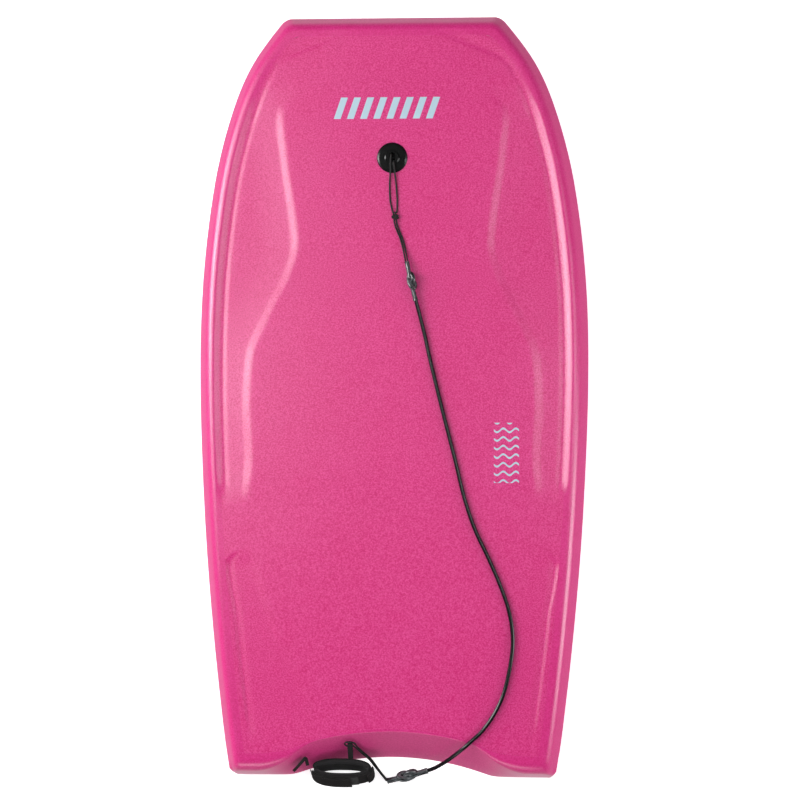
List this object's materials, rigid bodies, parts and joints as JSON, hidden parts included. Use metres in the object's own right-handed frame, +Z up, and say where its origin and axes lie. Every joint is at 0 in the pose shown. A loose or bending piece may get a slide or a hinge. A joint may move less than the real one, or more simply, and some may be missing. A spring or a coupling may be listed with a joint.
{
  "type": "bodyboard",
  "caption": "Prone wave-riding foam board with a crescent tail, a leash plug through the nose and a wrist leash that lies over the deck to its hook-and-loop cuff.",
  "frame": {"origin": "on the underside of the slick hull, on the centreline, midway between the nose edge and the tips of the tail", "axes": "+Y to the nose, +Z up out of the deck, +X to the rider's right"},
  "size_m": [0.5502, 1.0875, 0.0735],
  "materials": {
    "deck_foam": "matt speckled closed-cell foam",
    "rail_foam": "satin skinned foam",
    "core_foam": "matt moulded bead foam",
    "slick_plastic": "glossy",
    "black_plastic": "glossy",
    "string_fibre": "braided",
    "cord_plastic": "satin",
    "sleeve_plastic": "translucent, glossy",
    "webbing": "woven",
    "neoprene": "matt, fabric faced",
    "hook_and_loop": "napped"
  },
  "bodies": {
    "board": {"slick_skin": "slick_plastic", "foam_core": "core_foam", "deck_skin": "deck_foam", "rail_band": "rail_foam", "tail_band": "rail_foam", "plug_top": "black_plastic", "plug_bottom": "black_plastic", "string_loop": "string_fibre", "string_knot": "string_fibre", "string_strand_left": "string_fibre", "string_strand_right": "string_fibre", "upper_sleeve_knot": "sleeve_plastic", "leash_cord": "cord_plastic", "lower_sleeve_knot": "sleeve_plastic", "cuff_string": "string_fibre", "cuff_lining": "neoprene", "cuff_strap": "webbing", "cuff_loop_patch": "hook_and_loop", "cuff_strap_end": "webbing", "cuff_keeper": "webbing", "cuff_pull_tab": "webbing"},
    "cuff_flap": {"cuff_flap": "webbing", "cuff_hook_patch": "hook_and_loop"}
  },
  "joints": [
    {"name": "cuff_flap_peel", "type": "hinge", "parent": "board", "child": "cuff_flap", "pos_m": [-0.115, -0.52757, 0.01739], "axis": [0, -0.4226, -0.9063], "range_deg": [0, 75]}
  ]
}
